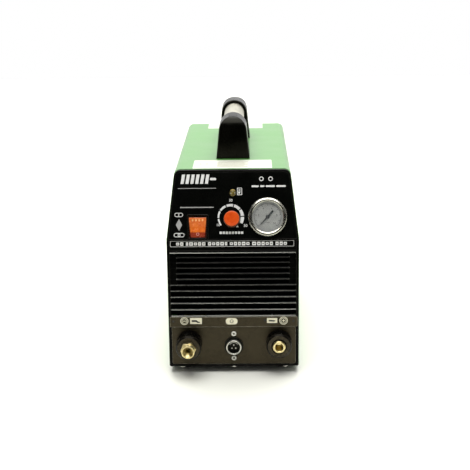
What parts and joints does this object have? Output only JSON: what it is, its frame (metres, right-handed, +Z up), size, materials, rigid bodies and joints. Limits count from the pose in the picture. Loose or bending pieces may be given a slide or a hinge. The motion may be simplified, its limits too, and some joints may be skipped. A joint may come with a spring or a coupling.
{
  "type": "plasma cutter",
  "caption": "Portable air plasma cutter power source with a slanted control panel, air gauge, louvred front, torch and cable sockets and a tube carrying handle.",
  "frame": {"origin": "on the floor under the middle of the whole unit, connectors and rear fittings included", "axes": "+X to the right seen from the front, +Y to the back, +Z up; the control panel and sockets face -Y"},
  "size_m": [0.153, 0.414, 0.29],
  "materials": {
    "green_paint": "satin powder coat",
    "black_paint": "satin powder coat",
    "bezel_plastic": "semi-gloss moulding",
    "overlay_film": "printed film",
    "plate_plastic": "semi-gloss moulding",
    "black_plastic": "semi-gloss moulding",
    "fitting_plastic": "matt nylon",
    "orange_plastic": "satin moulding",
    "rocker_plastic": "translucent gloss moulding",
    "brass": "turned, slightly dull",
    "nickel_steel": "nickel plated",
    "polished_steel": "polished",
    "handle_steel": "satin, warm tint",
    "aluminium": "extruded",
    "rubber": "matt",
    "dial_face": "printed",
    "needle_paint": "matt",
    "gauge_glass": "clear",
    "led_amber": "clear tinted",
    "circuit_board": "solder resist",
    "ferrite": "matt ceramic",
    "copper_wire": "enamelled wire",
    "capacitor_sleeve": "shrink sleeve",
    "air_hose": "polyurethane tube",
    "gauge_tube": "nylon tube"
  },
  "bodies": {
    "housing": {"cover": "green_paint", "base_tray": "black_paint", "front_bezel": "bezel_plastic", "control_overlay": "overlay_film", "symbol_strip": "black_plastic", "connector_plate": "plate_plastic", "torch_boss": "black_plastic", "torch_connector": "brass", "output_boss": "black_plastic", "output_socket": "brass", "control_socket_shell": "nickel_steel", "control_socket_insert": "fitting_plastic", "socket_rivet_upper": "nickel_steel", "socket_rivet_lower": "nickel_steel", "rocker_housing": "black_plastic", "potentiometer": "nickel_steel", "led_bezel": "brass", "led_lens": "led_amber", "gauge_case": "black_paint", "gauge_ring": "polished_steel", "gauge_dial": "dial_face", "gauge_lens": "gauge_glass", "handle_post_front": "black_plastic", "handle_post_rear": "black_plastic", "handle_tube": "handle_steel", "foot_front_left": "rubber", "foot_front_right": "rubber", "foot_rear_left": "rubber", "foot_rear_right": "rubber", "underside_screw_left": "nickel_steel", "underside_screw_middle": "nickel_steel", "underside_screw_right": "nickel_steel", "rear_panel": "black_paint", "fan_guard": "polished_steel", "fan_frame": "fitting_plastic", "cable_gland": "fitting_plastic", "air_inlet": "brass", "regulator_body": "aluminium", "earth_stud": "brass", "heatsink": "aluminium", "main_board": "circuit_board", "control_board": "circuit_board", "transformer_core": "ferrite", "transformer_winding": "copper_wire", "output_inductor": "copper_wire", "bulk_capacitor": "capacitor_sleeve", "solenoid_valve": "brass", "solenoid_coil": "fitting_plastic", "supply_hose": "air_hose", "valve_hose": "air_hose", "torch_hose": "air_hose", "gauge_line": "gauge_tube"},
    "rocker": {"power_rocker": "rocker_plastic"},
    "knob": {"knob_body": "fitting_plastic", "knob_cap": "orange_plastic", "potentiometer_shaft": "nickel_steel"},
    "needle": {"gauge_needle": "needle_paint"},
    "fan": {"fan_rotor": "fitting_plastic"},
    "regulator": {"regulator_knob": "fitting_plastic"},
    "plunger": {"solenoid_plunger": "nickel_steel"}
  },
  "joints": [
    {"name": "rocker_tilt", "type": "hinge", "parent": "housing", "child": "rocker", "pos_m": [-0.0399, -0.16824, 0.17615], "axis": [1, 0, 0], "range_deg": [-24, 0]},
    {"name": "knob_turn", "type": "hinge", "parent": "housing", "child": "knob", "pos_m": [-0.0007, -0.17022, 0.18625], "axis": [0, -0.9511, 0.3089], "range_deg": [-140, 140]},
    {"name": "needle_swing", "type": "hinge", "parent": "housing", "child": "needle", "pos_m": [0.0403, -0.16758, 0.18792], "axis": [0, 0.9511, -0.3089], "range_deg": [0, 270], "stiffness_Nm_per_rad": 0.0001, "springref_deg": -11.46},
    {"name": "fan_spin", "type": "hinge", "parent": "housing", "child": "fan", "pos_m": [0, 0.165, 0.165], "axis": [0, 1, 0], "continuous": true},
    {"name": "regulator_turn", "type": "hinge", "parent": "housing", "child": "regulator", "pos_m": [0.04, 0.19, 0.09], "axis": [0, -1, 0], "range_deg": [0, 1080]},
    {"name": "plunger_lift", "type": "slide", "parent": "housing", "child": "plunger", "axis": [0, 0, 1], "range_m": [0, 0.004], "stiffness_N_per_m": 200, "springref_m": -0.002}
  ]
}
